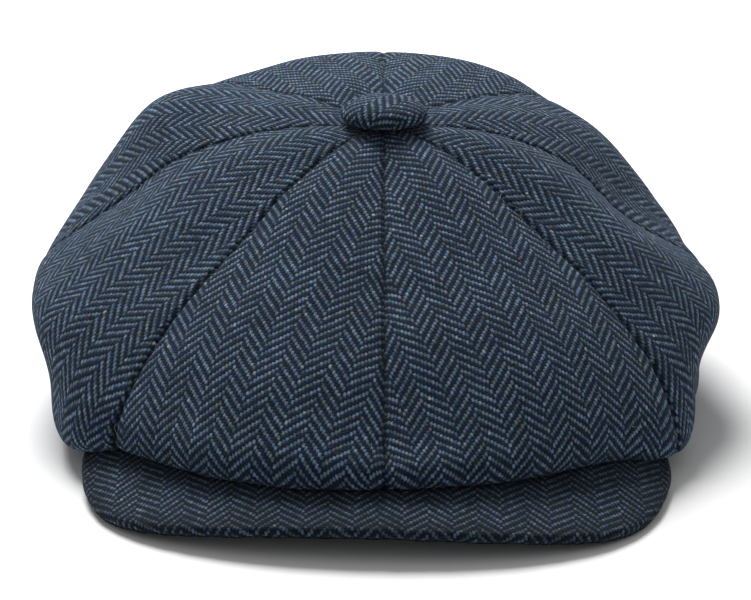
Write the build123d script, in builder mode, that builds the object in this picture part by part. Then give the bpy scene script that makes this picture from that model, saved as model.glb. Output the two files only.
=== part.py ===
from build123d import *
import math
import os

# Newsboy cap, size 58, lying on a table with its peak towards -Y.
# Origin: middle of the head opening, on the table. +Z up, millimetres.

# ---- driving dimensions -------------------------------------------------
HEAD_LENGTH = 200.0        # inside the sweatband, front to back
HEAD_WIDTH = 169.0
CLOTH = 1.3                # tweed
LINING = 0.6               # satin lining
LINING_GAP = 0.8           # air between tweed and lining
SEWN_GAP = 0.1             # between pieces that are stitched together
HEM_GAP = 0.3              # between the headband and the panels' lower edges
SAFE_GAP = 0.4             # between the peak's own moving pieces and the headband
CROWN_GAP = 0.8            # between the peak and the crown that lies over it
TABLE_GAP = 1.0            # between the table and the crown, which hangs from the headband
HEM_SLOPE = 0.075          # the peak holds the front of the hem up off the table

BUTTON_X = 2.0             # the crown's middle, where the eight seams meet
BUTTON_Y = 5.0
APEX_HEIGHT = 98.0         # top of the cloth under the button
APEX_HOLE = 3.0            # radius left for the button's shank
BUTTON_RADIUS = 16.0
BUTTON_BASE = 100.0        # height of the button's underside
BUTTON_HEIGHT = 7.5
BUTTON_CURL = 2.3          # radius that the cloth turns under with
BUTTON_CLOTH = 0.9
BUTTON_METAL = 0.5
BUTTON_OPENING = 11.0      # radius left open by the turned-under cloth
BUTTON_PLATE_RADIUS = 12.6
SHANK_RADIUS = 1.4
WASHER_RADIUS = 7.0

SWEATBAND = 1.2
SWEATBAND_HEIGHT = 28.0
HEAD_TAPE = 1.0
HEAD_TAPE_HEIGHT = 22.0
HEADBAND_HEIGHT = 12.0     # tweed strip that the panels and the peak are sewn to

PEAK_SHIFT = 5.0           # the peak sits a little to one side
PEAK_CLOTH = 1.1           # tweed stretched over the board
PEAK_BOARD = 1.6
PEAK_RIM = 2.5             # the covers reach this far past the board
PEAK_TURN = 3.5            # degrees that the peak is turned, right side forwards
PEAK_END = 60.0            # its ends meet the headband this far in front of the origin
PEAK_STEPS = 24            # points that its edge is drawn through
PEAK_RISE = -0.7           # height that sets its corners down on the table
PEAK_ROLL = 0.004          # rise per millimetre towards -X
PEAK_ARCH = 9.0            # its middle line stands this far over its corners
PEAK_ARCH_HALF_WIDTH = 80.0
PEAK_SLOPE = 0.135         # it falls towards the front
PEAK_FRONT = -165.0
PEAK_HALF_SLAB = 112.0     # half width and length that its curved layers are cut from
PEAK_SLAB_LENGTH = 120.0
# Half of the peak's edge, from its end on the headband to its middle.
PEAK_EDGE = (
    (71, -59), (76, -61), (88, -66), (98, -78), (101, -97), (97, -122), (85, -145), (59, -160), (0, -167.5),
)

SNAP_DIAMETER = 9.0        # press stud that holds the crown's front to the peak
SNAP_Y = -118.0
SNAP_SINK = 0.2            # the stud's base is pressed this deep into the cloth
SNAP_BASE = 0.5
SNAP_SOCKET = 1.5
SNAP_KNOB_RADIUS = 1.9
SNAP_KNOB_HEIGHT = 1.2
SNAP_WALL = 0.3            # metal left above the socket's hole

# Seams between the eight panels, in degrees from the front, right side positive.
SEAMS = (0.0, 48.0, 90.0, 135.0, 180.0, 225.0, 270.0, 319.0, 360.0)
PANELS = (
    "front_right", "side_front_right", "side_back_right", "back_right",
    "back_left", "side_back_left", "side_front_left", "front_left",
)

# The crown's outer line at each angle from the front, as (distance from the
# button's axis, height): near the button, half way out, outer top, shoulder,
# widest, waist, lowest roll, and the flat that turns in underneath.
CROWN_LINES = {
    0: ((22, 95), (62, 78.5), (97, 60), (127, 41), (146, 26.5), (152, 20), (150.5, 14), (142, 12)),
    50: ((22, 97), (62, 81.5), (92, 65), (116, 49.5), (131, 33), (134.5, 20), (131.5, 11.5), (122, 5)),
    70: ((22, 98), (62, 86.5), (91, 71.5), (114, 55), (128, 40), (123, 20), (123, 8.5), (114, 2)),
    90: ((22, 98.5), (62, 89.5), (88, 76), (109, 60.5), (123.5, 43), (117.5, 20), (117, 8), (107, 1.6)),
    135: ((22, 100), (60, 98.5), (90, 90.5), (112, 74), (124, 50), (120, 20), (120, 8), (110, 1.6)),
    180: ((22, 100.5), (55, 105.5), (90, 103), (118, 80), (130, 50), (125, 22), (123, 8), (112, 1.6)),
}
PANEL_PUFF = 1.8           # how far a panel swells between its seams
PUFF_SHARE = (0.3, 0.8, 1.0, 1.2, 1.1, 0.7, 0.3, 0.0)
RIM_SHIFT = -3.5           # the rim hangs this far to -X of the button
LEFT_SHOULDER_LIFT = 10.0  # the left back shoulder stands up, the right one less
LEFT_SHOULDER_ANGLE = 244.0
LEFT_SHOULDER_SPREAD = 48.0
RIGHT_SHOULDER_LIFT = 2.0
RIGHT_SHOULDER_ANGLE = 130.0
RIGHT_SHOULDER_SPREAD = 60.0
LIFT_SHARE = (0.0, 0.3, 0.85, 1.0, 0.45, 0.0, 0.0, 0.0)
PEAK_COVER_ANGLE = 58.0    # the crown lies on the peak up to this angle
TABLE_ANGLE = 70.0         # and hangs over the table from this one
NOSE_RISE = 0.4            # the front roll stands this far off the peak
ROLL_LIFT = 0.5            # where the roll runs out into the level cloth
SNAP_SPREAD = 26.0         # degrees over which the press stud lifts the front
CROWN_STEPS = 30           # points along each line that a panel is lofted through

os.makedirs("parts", exist_ok=True)

# ---- worked-out sizes ----------------------------------------------------
PEAK_THICKNESS = PEAK_BOARD + 2 * PEAK_CLOTH
SNAP_ROOM = SNAP_BASE - SNAP_SINK + SAFE_GAP + SNAP_SOCKET + SEWN_GAP
TAPE_OUTER = SWEATBAND + SEWN_GAP + HEAD_TAPE
HEM_OUTER = TAPE_OUTER + SEWN_GAP + CLOTH
HEM_OFFSET = HEM_OUTER + HEM_GAP
HEM_BACK = HEAD_LENGTH / 2 + HEM_OUTER
BELOW = 5.0                # blanks start this far under the table, and are then cut
BLANK_HEIGHT = 60.0


def save(part, name):
    part.label = name
    export_step(part, f"parts/{name}.step")


def head_oval(offset):
    """Half width and half length of the head oval, grown by an offset."""
    return HEAD_WIDTH / 2 + offset, HEAD_LENGTH / 2 + offset


def hem_plane(height):
    """The sloping plane of the hem, raised by a height."""
    return Plane(origin=(0, HEM_BACK, height), x_dir=(1, 0, 0), z_dir=(0, HEM_SLOPE, 1))


def hem_height(y):
    return HEM_SLOPE * (HEM_BACK - y)


def oval_ring(inside, outside, bottom, top):
    """A standing band around the head oval, between two offsets and two heights over the hem."""
    with BuildPart() as band:
        with BuildSketch(Plane.XY.offset(-BELOW)):
            Ellipse(*head_oval(outside))
            Ellipse(*head_oval(inside), mode=Mode.SUBTRACT)
        extrude(amount=BLANK_HEIGHT)
        split(bisect_by=hem_plane(top), keep=Keep.BOTTOM)
        split(bisect_by=hem_plane(bottom), keep=Keep.TOP)
    return band.part


def angle_between(a, b):
    return abs((a - b + 180) % 360 - 180)


def swell(angle, middle, half_width):
    """1 at the middle angle, falling smoothly to 0 at its half width."""
    share = min(angle_between(angle, middle) / half_width, 1)
    return math.cos(math.pi / 2 * share) ** 2


def ease(value, start, end):
    """0 before start, 1 after end, smooth between them."""
    share = min(max((value - start) / (end - start), 0), 1)
    return share * share * (3 - 2 * share)


# ---- crown: the line of the cloth at any angle -----------------------------
def crown_line_value(angle, point, axis):
    """Smooth curve through one number of CROWN_LINES, read at an angle."""
    angles = sorted(CROWN_LINES)
    values = [CROWN_LINES[a][point][axis] for a in angles]
    slopes = [0.0] * len(angles)
    for i in range(1, len(angles) - 1):
        slopes[i] = (values[i + 1] - values[i - 1]) / (angles[i + 1] - angles[i - 1])
    i = max(k for k in range(len(angles) - 1) if angles[k] <= angle)
    span = angles[i + 1] - angles[i]
    t = (angle - angles[i]) / span
    return (
        (1 + 2 * t) * (1 - t) ** 2 * values[i]
        + t * (1 - t) ** 2 * span * slopes[i]
        + t * t * (3 - 2 * t) * values[i + 1]
        + t * t * (t - 1) * span * slopes[i + 1]
    )


def peak_underside(x, y):
    """Height of the peak's underside, arched from side to side and falling to the front."""
    arch = PEAK_ARCH * (1 - (x / PEAK_ARCH_HALF_WIDTH) ** 2)
    return PEAK_RISE - PEAK_ROLL * x + arch + PEAK_SLOPE * (y - PEAK_FRONT)


def hem_radius(angle):
    """Distance from the button's axis to the hem oval."""
    wide, long = head_oval(HEM_OFFSET)
    across, along = math.sin(math.radians(angle)), -math.cos(math.radians(angle))
    a = (across / wide) ** 2 + (along / long) ** 2
    b = BUTTON_X * across / wide**2 + BUTTON_Y * along / long**2
    c = (BUTTON_X / wide) ** 2 + (BUTTON_Y / long) ** 2 - 1
    return (-b + math.sqrt(b * b - a * c)) / a


def seam_swell(angle):
    """0 on a seam, 1 half way between two seams."""
    i = max(k for k in range(len(SEAMS) - 1) if SEAMS[k] <= angle)
    return math.sin(math.pi * (angle - SEAMS[i]) / (SEAMS[i + 1] - SEAMS[i])) ** 2


def on_table(angle):
    """0 where the crown's underside lies on the peak, 1 where it lies on the table."""
    return ease(angle_between(angle, 0), PEAK_COVER_ANGLE, TABLE_ANGLE)


def crown_rest(angle, radius, inwards):
    """Height of the crown's underside: inwards is 0 under its outer roll and 1 at the hem."""
    x = BUTTON_X + radius * math.sin(math.radians(angle))
    y = BUTTON_Y - radius * math.cos(math.radians(angle))
    peak = peak_underside(x, y) + PEAK_THICKNESS + CROWN_GAP
    peak += (SNAP_ROOM - CROWN_GAP) * swell(angle, 0, SNAP_SPREAD) * ease(inwards, 0, 0.5)
    free = TABLE_GAP + inwards * hem_height(y)
    return peak + (free - peak) * on_table(angle)


def crown_points(angle):
    """Points of the cloth's outer line from the apex to the hem, as (radius, height)."""
    from_front = angle_between(angle, 0)
    sideways = math.sin(math.radians(angle))
    lift = LEFT_SHOULDER_LIFT * swell(angle, LEFT_SHOULDER_ANGLE, LEFT_SHOULDER_SPREAD)
    lift += RIGHT_SHOULDER_LIFT * swell(angle, RIGHT_SHOULDER_ANGLE, RIGHT_SHOULDER_SPREAD)
    puff = PANEL_PUFF * seam_swell(angle)
    points = []
    for i in range(len(PUFF_SHARE)):
        radius = crown_line_value(from_front, i, 0)
        height = crown_line_value(from_front, i, 1) + lift * LIFT_SHARE[i]
        steep = min(i / 4, 1) * math.pi / 2
        radius += RIM_SHIFT * sideways * radius / 125 + puff * PUFF_SHARE[i] * math.sin(steep)
        height += puff * PUFF_SHARE[i] * math.cos(steep)
        points.append((radius, height))
    radius, height = points[-1]
    hem = hem_radius(angle)
    lowest = crown_rest(angle, points[-2][0], 0) + NOSE_RISE
    points[-2] = (points[-2][0], max(points[-2][1], lowest))
    points[-1] = (radius, crown_rest(angle, radius, 0) + height * on_table(angle) + ROLL_LIFT)
    half_way = (radius + hem) / 2
    flat = [(half_way, crown_rest(angle, half_way, 0.5)), (hem, crown_rest(angle, hem, 1))]
    return [(APEX_HOLE, APEX_HEIGHT), (10, APEX_HEIGHT)] + points + flat


def radial_plane(angle):
    """Upright plane through the button's axis: local x outwards, local y up."""
    outwards = (math.sin(math.radians(angle)), -math.cos(math.radians(angle)), 0)
    return Plane(
        origin=(BUTTON_X, BUTTON_Y, 0), x_dir=outwards, z_dir=(outwards[1], -outwards[0], 0)
    )


def inward_points(guide, fractions, depth):
    """Points along a guide line, moved to its inner side by a depth."""
    moved = []
    for u in fractions:
        place, run = guide @ u, guide % u
        moved.append((place.X + run.Y * depth, place.Y - run.X * depth))
    return moved


def crown_shell(start, end, near, far, trimmed=0):
    """One panel's shell between two seams, from one depth in the cloth to another."""
    with BuildPart() as shell:
        for step in range(5):
            angle = start + (end - start) * step / 4
            points = crown_points(angle)
            length = sum(math.dist(p, q) for p, q in zip(points[:-1], points[1:]))
            kept = 1 - trimmed / length
            fractions = [kept * i / CROWN_STEPS for i in range(CROWN_STEPS + 1)]
            with BuildSketch(radial_plane(angle)):
                with BuildLine():
                    guide = Spline(points, mode=Mode.PRIVATE)
                    outer = Spline(inward_points(guide, fractions, near))
                    inner = Spline(inward_points(guide, fractions, far))
                    Line(outer @ 0, inner @ 0)
                    Line(outer @ 1, inner @ 1)
                make_face()
        loft()
    return shell.part


LINING_NEAR = CLOTH + LINING_GAP
LINING_FAR = LINING_NEAR + LINING
for panel, start, end in zip(PANELS, SEAMS[:-1], SEAMS[1:]):
    save(crown_shell(start, end, 0, CLOTH), f"{panel}_panel")
    save(crown_shell(start, end, LINING_NEAR, LINING_FAR, trimmed=3), f"{panel}_lining")

# ---- headband: sweatband, stiffening tape and tweed strip -------------------
save(oval_ring(0, SWEATBAND, 0.8, SWEATBAND_HEIGHT), "sweatband")
save(oval_ring(SWEATBAND + SEWN_GAP, TAPE_OUTER, 0.6, HEAD_TAPE_HEIGHT), "head_tape")
save(oval_ring(TAPE_OUTER + SEWN_GAP, HEM_OUTER, 0, HEADBAND_HEIGHT), "headband_cloth")

# ---- button: cloth over a tin dome, closed by a back plate, held by its shank ----
BUTTON_AXIS = Axis((BUTTON_X, BUTTON_Y, 0), (0, 0, 1))
BUTTON_PLANE = Plane(origin=(BUTTON_X, BUTTON_Y, BUTTON_BASE), x_dir=(1, 0, 0), z_dir=(0, -1, 0))
DIAGONAL = math.sqrt(0.5)


def button_dome(near, far, opening):
    """The button's dome between two depths, open underneath."""
    turn = BUTTON_RADIUS - BUTTON_CURL
    with BuildPart() as dome:
        with BuildSketch(BUTTON_PLANE):
            with BuildLine():
                for depth in (near, far):
                    wide, high = BUTTON_RADIUS - depth, BUTTON_HEIGHT - BUTTON_CURL - depth
                    shoulder = (wide * DIAGONAL, BUTTON_CURL + high * DIAGONAL)
                    crest, rim = (0, BUTTON_HEIGHT - depth), (wide, BUTTON_CURL)
                    Spline(crest, shoulder, rim, tangents=((1, 0), (0, -1)))
                    CenterArc((turn, BUTTON_CURL), BUTTON_CURL - depth, 0, -90)
                    Line((turn, depth), (opening, depth))
                Line((0, BUTTON_HEIGHT - near), (0, BUTTON_HEIGHT - far))
                Line((opening, near), (opening, far))
            make_face()
        revolve(axis=BUTTON_AXIS)
    return dome.part


def button_disc(bottom, top, radius, hole=0.0):
    """A flat round piece on the button's axis."""
    with BuildPart() as disc:
        with BuildSketch(Plane.XY.offset(bottom)):
            with Locations((BUTTON_X, BUTTON_Y)):
                Circle(radius)
                if hole:
                    Circle(hole, mode=Mode.SUBTRACT)
        extrude(amount=top - bottom)
    return disc.part


SHELL_DEPTH = BUTTON_CLOTH + SEWN_GAP
PLATE_BOTTOM = BUTTON_BASE + SHELL_DEPTH
PLATE_TOP = PLATE_BOTTOM + BUTTON_METAL
WASHER_TOP = APEX_HEIGHT - LINING_FAR - SAFE_GAP
WASHER_BOTTOM = WASHER_TOP - BUTTON_METAL
SHANK_HOLE = SHANK_RADIUS + SEWN_GAP
save(button_dome(0, BUTTON_CLOTH, BUTTON_OPENING), "button_cloth")
save(button_dome(SHELL_DEPTH, SHELL_DEPTH + BUTTON_METAL, BUTTON_PLATE_RADIUS + SEWN_GAP), "button_shell")
save(button_disc(PLATE_BOTTOM, PLATE_TOP, BUTTON_PLATE_RADIUS, SHANK_HOLE), "button_back_plate")
save(button_disc(WASHER_BOTTOM, WASHER_TOP, WASHER_RADIUS, SHANK_HOLE), "inner_washer")

with BuildPart() as button_shank:
    add(button_disc(WASHER_BOTTOM, PLATE_TOP, SHANK_RADIUS))
    add(button_disc(PLATE_TOP, PLATE_TOP + SHANK_RADIUS / 2, 2 * SHANK_RADIUS))
    add(button_disc(WASHER_BOTTOM - SHANK_RADIUS / 2, WASHER_BOTTOM, 2 * SHANK_RADIUS))
save(button_shank.part, "button_shank")


# ---- peak: a stiff board between two tweed covers ---------------------------
def turned(x, y):
    """A point of the peak's plan, turned with the peak and shifted to one side."""
    across, along = math.cos(math.radians(PEAK_TURN)), math.sin(math.radians(PEAK_TURN))
    return x * across + y * along + PEAK_SHIFT, y * across - x * along


SLAB_PLACES = [PEAK_HALF_SLAB * i / 4 for i in range(-4, 5)]


def peak_layer(bottom, top, rim):
    """A slice of the peak between two heights over its underside, set in by a rim."""
    left = [turned(-x, y) for x, y in PEAK_EDGE]
    right = [turned(x, y) for x, y in PEAK_EDGE[-2::-1]]
    start = PEAK_END + rim
    with BuildPart() as layer:
        with BuildSketch(Plane.XY.offset(-BELOW)):
            with BuildLine():
                guide = Spline(left + right, mode=Mode.PRIVATE)
                edge = Spline(inward_points(guide, [i / PEAK_STEPS for i in range(PEAK_STEPS + 1)], -rim))
                Line(edge @ 1, edge @ 0)
            make_face()
            Ellipse(*head_oval(HEM_OFFSET + SAFE_GAP + rim), mode=Mode.SUBTRACT)
        extrude(amount=BLANK_HEIGHT)
        with BuildSketch(Plane.XZ.offset(start)):
            with BuildLine():
                for height in (bottom, top):
                    Spline([(x, peak_underside(x, -start) + height) for x in SLAB_PLACES])
                for x in (SLAB_PLACES[0], SLAB_PLACES[-1]):
                    Line(*[(x, peak_underside(x, -start) + height) for height in (bottom, top)])
            make_face()
        extrude(amount=PEAK_SLAB_LENGTH, dir=(0, -1, -PEAK_SLOPE), mode=Mode.INTERSECT)
    return layer.part


MID_HEIGHT = PEAK_THICKNESS / 2
BOARD_TOP = PEAK_CLOTH + PEAK_BOARD
SNAP_PLANE = Plane(
    origin=(0, SNAP_Y, peak_underside(0, SNAP_Y) + PEAK_THICKNESS),
    x_dir=(1, 0, 0),
    z_dir=(0, -PEAK_SLOPE, 1),
)
SNAP_FLOOR = SNAP_PLANE.offset(-SNAP_SINK)
SOCKET_TOP = SNAP_ROOM - SEWN_GAP

peak_pocket = peak_layer(PEAK_CLOTH, BOARD_TOP, PEAK_RIM)
save(peak_layer(PEAK_CLOTH, BOARD_TOP, PEAK_RIM + SEWN_GAP), "peak_board")

with BuildPart() as peak_under_cover:
    add(peak_layer(0, MID_HEIGHT, 0))
    add(peak_pocket, mode=Mode.SUBTRACT)
save(peak_under_cover.part, "peak_under_cover")

with BuildPart() as peak_top_cover:
    add(peak_layer(MID_HEIGHT, PEAK_THICKNESS, 0))
    add(peak_pocket, mode=Mode.SUBTRACT)
    with BuildSketch(SNAP_FLOOR):
        Circle(SNAP_DIAMETER / 2 + SEWN_GAP)
    extrude(amount=PEAK_THICKNESS, mode=Mode.SUBTRACT)
save(peak_top_cover.part, "peak_top_cover")

# ---- press stud: socket sewn under the crown's front, stud sewn on the peak ----
with BuildPart() as snap_socket:
    with BuildSketch(SNAP_PLANE.offset(SOCKET_TOP)):
        Circle(SNAP_DIAMETER / 2)
    extrude(amount=-SNAP_SOCKET)
    with BuildSketch(SNAP_PLANE.offset(SOCKET_TOP - SNAP_SOCKET)):
        Circle(SNAP_KNOB_RADIUS + SAFE_GAP)
    extrude(amount=SNAP_SOCKET - SNAP_WALL, mode=Mode.SUBTRACT)
    chamfer(snap_socket.faces().sort_by(Axis.Z)[0].outer_wire().edges(), 0.3)
save(snap_socket.part, "snap_socket")

with BuildPart() as snap_stud:
    with BuildSketch(SNAP_FLOOR):
        Circle(SNAP_DIAMETER / 2)
    extrude(amount=SNAP_BASE)
    with BuildSketch(SNAP_FLOOR.offset(SNAP_BASE)):
        Circle(SNAP_KNOB_RADIUS)
    extrude(amount=SNAP_KNOB_HEIGHT)
    fillet(snap_stud.faces().sort_by(Axis.Z)[-1].edges(), 0.4)
save(snap_stud.part, "snap_stud")
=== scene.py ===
import math
import random

import bmesh
import bpy
from mathutils import Matrix, Vector, noise
from mathutils.bvhtree import BVHTree


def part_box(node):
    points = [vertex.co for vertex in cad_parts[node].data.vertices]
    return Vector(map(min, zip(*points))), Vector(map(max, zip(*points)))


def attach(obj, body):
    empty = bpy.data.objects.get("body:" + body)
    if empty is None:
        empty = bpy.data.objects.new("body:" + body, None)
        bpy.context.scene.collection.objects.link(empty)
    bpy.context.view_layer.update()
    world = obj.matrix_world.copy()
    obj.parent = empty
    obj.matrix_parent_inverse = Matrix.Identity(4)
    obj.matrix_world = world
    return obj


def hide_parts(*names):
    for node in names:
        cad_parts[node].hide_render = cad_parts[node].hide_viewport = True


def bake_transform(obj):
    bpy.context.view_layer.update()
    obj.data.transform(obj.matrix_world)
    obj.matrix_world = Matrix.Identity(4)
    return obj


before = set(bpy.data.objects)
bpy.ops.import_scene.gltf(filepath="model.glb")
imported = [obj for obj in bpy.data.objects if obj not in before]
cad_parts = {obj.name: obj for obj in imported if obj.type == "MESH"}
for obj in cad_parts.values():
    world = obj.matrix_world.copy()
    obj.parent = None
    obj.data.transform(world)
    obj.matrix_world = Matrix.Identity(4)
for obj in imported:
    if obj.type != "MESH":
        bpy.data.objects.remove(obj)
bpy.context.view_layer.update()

# Newsboy cap of herringbone tweed, lying on a table with its peak towards -Y.
# Everything is in metres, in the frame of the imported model.

MM = 0.001
UP = Vector((0, 0, 1))


# ---- Crown panels ----
# Eight wedges of wool herringbone tweed, sewn edge to edge from the button to
# the headband. The seams pull the cloth in, and it swells softly between them.
PANELS = (
    "front_right", "side_front_right", "side_back_right", "back_right",
    "back_left", "side_back_left", "side_front_left", "front_left",
)
TWEED = 1.3 * MM              # thickness of the milled cloth
THREAD = 1.0 * MM             # distance from one thread to the next
RIB_THREADS = 8               # threads in one column of the herringbone
LINE_ROWS = 84                # rows of the panel's net, from the button to the hem
SEAM_SHARE = 0.9975           # share of the wedge that its net takes up
OFF_CENTRE = 0.0009           # keeps the net's lines off the solid's own edges
WEDGE_START = 3.6 * MM        # the net starts this far from the button's axis
HEM_GAP = 0.6 * MM            # the hem ends this far out from the headband
ABOVE, BELOW, BESIDE = 0.2, 0.02, 0.25  # where rays start, clear of the cap
WIDE_HEIGHT = 9 * MM          # height over the hem at which the crown's reach is taken
HEART_HEIGHT = 11 * MM        # height over the hem of the point that rays fan out round
HEART_SHARE = 0.3             # where that point lies between the hem and the reach
# Distances of the net's columns from a seam, of which the last is half a panel.
SEAM_STEPS = (0, 0.5, 1, 1.6, 2.4, 3.5, 5, 7, 9.5, 12.5, 16, 20, 24.5, 29, 34, 39, 44.5, 50)
SEAM_DEPTH = 1.4 * MM         # how far the stitches pull an edge in
SEAM_WIDTH = 1.0 * MM
SEAM_HOLLOW = 0.9 * MM        # wider hollow along a seam
SEAM_HOLLOW_WIDTH = 6.5 * MM
SEAM_NARROW = 12 * MM         # seams pull less where half the wedge is narrower than this
SEAM_TUCK = 0.3 * MM          # how far each edge reaches into its seam
SEAM_SHADE = 0.85 * MM        # width of the dark line in a seam: its thread and lint, and painted shade of its hollow
SHADIEST_SEAM = -0.45          # angle from the front of the seam with the deepest painted shade
PUCKER = 0.35 * MM            # small tucks that the stitches make
PUCKER_LENGTH = 8.5 * MM
PUCKER_REACH = 5 * MM         # how far in from an edge they run
DRIFT_SIZE = 30 * MM          # over this distance the tucks get out of step
DENT = 1.7 * MM               # soft dents of worn cloth
DENT_SIZE = 48 * MM
CREASE = 0.6 * MM             # finer creases over them
CREASE_SIZE = 17 * MM
# Where wear has moved the crown: a place in mm, how far it moved there, and the spread.
SETTLED = (
    ((-110, 10, 76), (9, 0, -1), 30),
    ((110, 10, 74), (-11.5, 0, -1), 32),
    ((-104, 50, 60), (4, -2, 0), 28),
    ((104, 50, 60), (-5, -2, 0), 30),
    ((-78, 40, 98), (-3, 0, 3), 24),
    ((122, 0, 48), (4, 0, 0), 22),
    ((-122, 0, 50), (-4, 0, 0), 22),
    ((122, -20, 30), (2, 0, -3), 24),
    ((103, -82, 8), (4, -12, -7), 25),
    ((-104, -78, 8), (-4, -10, -6), 25),
)
TABLE_CLEAR = 1.6 * MM        # nothing of the crown settles lower than this
SLACK_START, SLACK_RISE, SLACK_FALL = 0.06, 0.08, 0.2   # shares of a panel's length

button_low, button_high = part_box("button_cloth")
button_axis = (button_low + button_high) / 2
button_axis.z = 0
hem_low, hem_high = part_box("headband_cloth")
hem_half = (hem_high - hem_low) / 2
hem_middle = (hem_high + hem_low) / 2


def search_tree(*nodes):
    """One search tree of the solids of several nodes."""
    corners, faces = [], []
    for node in nodes:
        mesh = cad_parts[node].data
        start = len(corners)
        corners += [v.co.copy() for v in mesh.vertices]
        faces += [[start + i for i in p.vertices] for p in mesh.polygons]
    return BVHTree.FromPolygons(corners, faces)


def outwards(angle):
    """Direction away from the button's axis at an angle from the front."""
    return Vector((math.sin(angle), -math.cos(angle), 0))


def panel_angles(node):
    """The angles of a panel's two seams, from the front, right side positive."""
    found = []
    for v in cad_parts[node].data.vertices:
        arm = v.co - button_axis
        if math.hypot(arm.x, arm.y) > 40 * MM:
            found.append(math.atan2(arm.x, -arm.y))
    middle = math.atan2(sum(map(math.sin, found)), sum(map(math.cos, found)))
    turned = [(a - middle + math.pi) % math.tau - math.pi for a in found]
    return middle + min(turned), middle + max(turned)


def hem_distance(angle, gap):
    """Distance from the button's axis to the headband's oval, grown by a gap."""
    out = outwards(angle)
    wide, long = hem_half.x + gap, hem_half.y + gap
    start = button_axis - hem_middle
    a = (out.x / wide) ** 2 + (out.y / long) ** 2
    b = start.x * out.x / wide**2 + start.y * out.y / long**2
    c = (start.x / wide) ** 2 + (start.y / long) ** 2 - 1
    return (-b + math.sqrt(b * b - a * c)) / a


def spaced(points, count):
    """Points at equal distances along a line of points."""
    reach = [0.0]
    for p, q in zip(points[:-1], points[1:]):
        reach.append(reach[-1] + (q - p).length)
    result, i = [], 0
    for k in range(count):
        want = reach[-1] * k / (count - 1)
        while i < len(points) - 2 and reach[i + 1] < want:
            i += 1
        share = (want - reach[i]) / max(reach[i + 1] - reach[i], 1e-9)
        result.append(points[i].lerp(points[i + 1], min(share, 1)))
    return result


def cloth_line(tree, angle, start, gap, rows):
    """A solid's outer line at an angle, from a distance beside the axis round to the hem."""
    out = outwards(angle)
    hem = hem_distance(angle, gap)
    top = tree.ray_cast(button_axis + out * start + UP * ABOVE, -UP)[0]
    low = tree.ray_cast(button_axis + out * hem - UP * BELOW, UP)[0]
    edge = tree.ray_cast(button_axis + out * BESIDE + UP * (low.z + WIDE_HEIGHT), -out)[0]
    reach = (edge - button_axis).dot(out)
    heart = button_axis + out * (hem + HEART_SHARE * (reach - hem)) + UP * (low.z + HEART_HEIGHT)
    turns = []
    for end in (top, low):
        arm = end - heart
        turns.append(math.atan2(arm.z, -arm.dot(out)) % math.tau)
    steps = 3 * rows
    reaches = []
    for i in range(steps + 1):
        turn = turns[0] + (turns[1] - turns[0]) * i / steps
        way = UP * math.sin(turn) - out * math.cos(turn)
        hit = tree.ray_cast(heart + way * BESIDE, -way)[0]
        reaches.append((way, (hit - heart).dot(way) if hit is not None else 0.0))
    line = [top]
    for i in range(2, steps - 1):    # the middle of five reaches leaves out a ray that slips by
        near = sorted(reach for way, reach in reaches[i - 2:i + 3])
        line.append(heart + reaches[i][0] * near[2])
    return spaced(line + [low], rows)


def seam_shares(steps):
    """Places across a panel from -1 to 1, close together beside the seams."""
    half = [-1 + step / steps[-1] for step in steps]
    return half + [-share for share in half[-2::-1]]


def placed(name, data):
    """A new object of the scene."""
    made = bpy.data.objects.new(name, data)
    bpy.context.scene.collection.objects.link(made)
    return made


def net_mesh(name, net, spots, seam_and_painted_shades=()):
    """A sheet through a net of points, with its flat-cut places as a UV map and, if given, a 'seam'
    attribute of painted shade: along the crown's seams, together with their dark thread and lint, and over
    the peak. A net with one column fewer than its flat cut closes into a ring."""
    rows, columns = len(net), len(net[0])
    mesh = bpy.data.meshes.new(name)
    faces, flat = [], []
    for k in range(rows - 1):
        for c in range(len(spots[0]) - 1):
            corners = ((k, c), (k + 1, c), (k + 1, c + 1), (k, c + 1))
            faces.append([row * columns + column % columns for row, column in corners])
            flat += [spots[row][column] for row, column in corners]
    mesh.from_pydata([p for row in net for p in row], [], faces)
    layer = mesh.uv_layers.new(name="cut")
    for loop, spot in zip(layer.data, flat):
        loop.uv = spot
    if seam_and_painted_shades:
        # The 'seam' attribute carries painted shade, and on the crown also the dark thread and lint of its
        # seams.
        mesh.attributes.new("seam", "FLOAT", "POINT").data.foreach_set("value", seam_and_painted_shades)
    mesh.update()
    return placed(name, mesh)


def finish_sheet(piece, thickness, levels):
    """Rounds a sheet, gives it its thickness on the inner side, and smooths it."""
    bpy.ops.object.select_all(action="DESELECT")
    bpy.context.view_layer.objects.active = piece
    piece.select_set(True)
    if levels:
        rounding = piece.modifiers.new("rounding", "SUBSURF")
        rounding.levels = rounding.render_levels = levels
        rounding.boundary_smooth = "PRESERVE_CORNERS"
        bpy.ops.object.modifier_apply(modifier="rounding")
    wall = piece.modifiers.new("wall", "SOLIDIFY")
    wall.thickness, wall.offset = thickness, -1
    bpy.ops.object.modifier_apply(modifier="wall")
    bpy.ops.object.shade_smooth_by_angle(angle=math.radians(50))


def clad(piece, thickness, levels, material, body, node):
    """Finishes a sheet, gives it its material, and puts it in place of its solid."""
    finish_sheet(piece, thickness, levels)
    piece.data.materials.append(material)
    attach(piece, body)
    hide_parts(node)


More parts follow.
